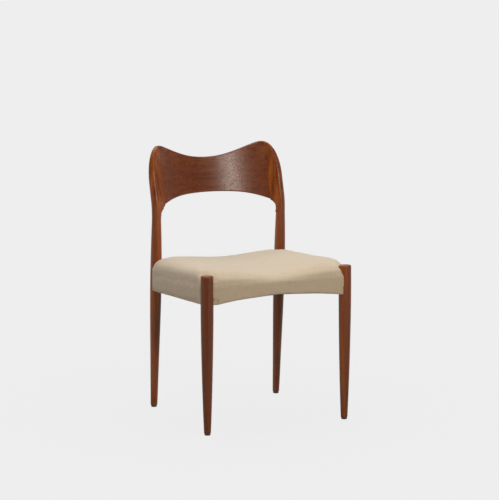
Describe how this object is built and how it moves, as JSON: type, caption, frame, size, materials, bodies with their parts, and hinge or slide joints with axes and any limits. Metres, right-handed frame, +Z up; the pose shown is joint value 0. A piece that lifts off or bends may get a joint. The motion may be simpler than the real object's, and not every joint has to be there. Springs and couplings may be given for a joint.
{
  "type": "dining chair",
  "caption": "Upright wooden dining chair with round tapered legs, a curved moulded back set between ears, and a dished upholstered seat.",
  "frame": {"origin": "on the floor, under the middle of the chair's overall box", "axes": "+Z up, -Y the way a sitter faces, +X to the right as seen from the front; alike left and right of x = 0"},
  "size_m": [0.4856, 0.4948, 0.7898],
  "materials": {
    "teak": "oiled, satin",
    "teak_veneer": "oiled veneer, satin",
    "beech": "plain, unfinished",
    "steel": "zinc",
    "webbing": "woven jute",
    "foam": "open cell",
    "wool": "plain woven wool",
    "dust_cloth": "thin woven cambric",
    "glide": "smooth"
  },
  "bodies": {
    "root": {"front_leg_left": "teak", "front_leg_right": "teak", "rear_stile_left": "teak", "rear_stile_right": "teak", "back_panel": "teak_veneer", "front_rail": "beech", "rear_rail": "beech", "left_rail": "beech", "right_rail": "beech", "corner_block_front_left": "beech", "corner_block_front_right": "beech", "corner_block_rear_left": "beech", "corner_block_rear_right": "beech", "block_screws": "steel", "rail_dowels": "beech", "panel_dowels": "beech", "webbing_long": "webbing", "webbing_cross": "webbing", "seat_foam": "foam", "seat_cover": "wool", "dust_cover": "dust_cloth", "glide_front_left": "glide", "glide_front_right": "glide", "glide_rear_left": "glide", "glide_rear_right": "glide"}
  },
  "joints": []
}
